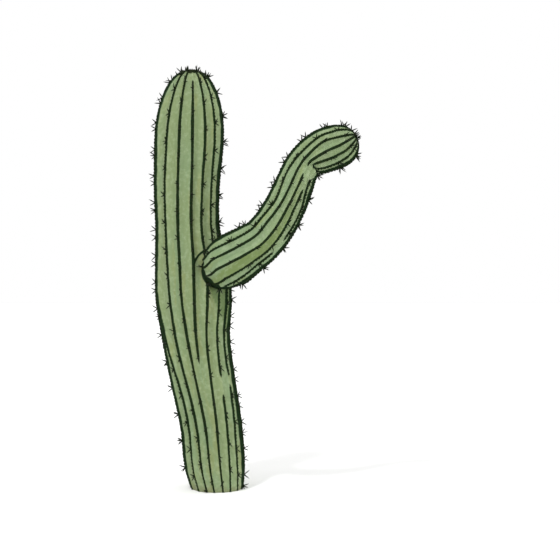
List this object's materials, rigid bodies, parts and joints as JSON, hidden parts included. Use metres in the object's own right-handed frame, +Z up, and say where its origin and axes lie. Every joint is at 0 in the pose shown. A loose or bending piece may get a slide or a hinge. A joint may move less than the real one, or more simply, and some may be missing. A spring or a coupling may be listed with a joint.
{
  "type": "saguaro cactus",
  "caption": "Young saguaro cactus rooted in the ground: a ribbed, leaning trunk with a domed top, and an arm that swells from its side, climbs and folds over to a blunt spiny tip.",
  "frame": {"origin": "centre of the flat cut at ground level, where the trunk is rooted (mount ground)", "axes": "+Z up, the way the trunk grows; +X towards the side that the arm's tip reaches out to; -Y towards the side of the trunk that the arm's base stands out from"},
  "size_m": [1.456, 0.782, 3.002],
  "materials": {
    "trunk_skin": "waxy grey-green skin, smooth and matt, browner and corky at the foot",
    "arm_skin": "waxy grey-green skin, smooth and matt, a little darker than the trunk's",
    "areoles": "dark felt in a close row along each rib's crest, and in a cap over each tip",
    "spines": "stiff dark needles, dull, paler towards some tips"
  },
  "bodies": {
    "root": {"trunk": "trunk_skin", "arm_base": "arm_skin", "arm_riser": "arm_skin", "arm_tip": "arm_skin"}
  },
  "joints": []
}
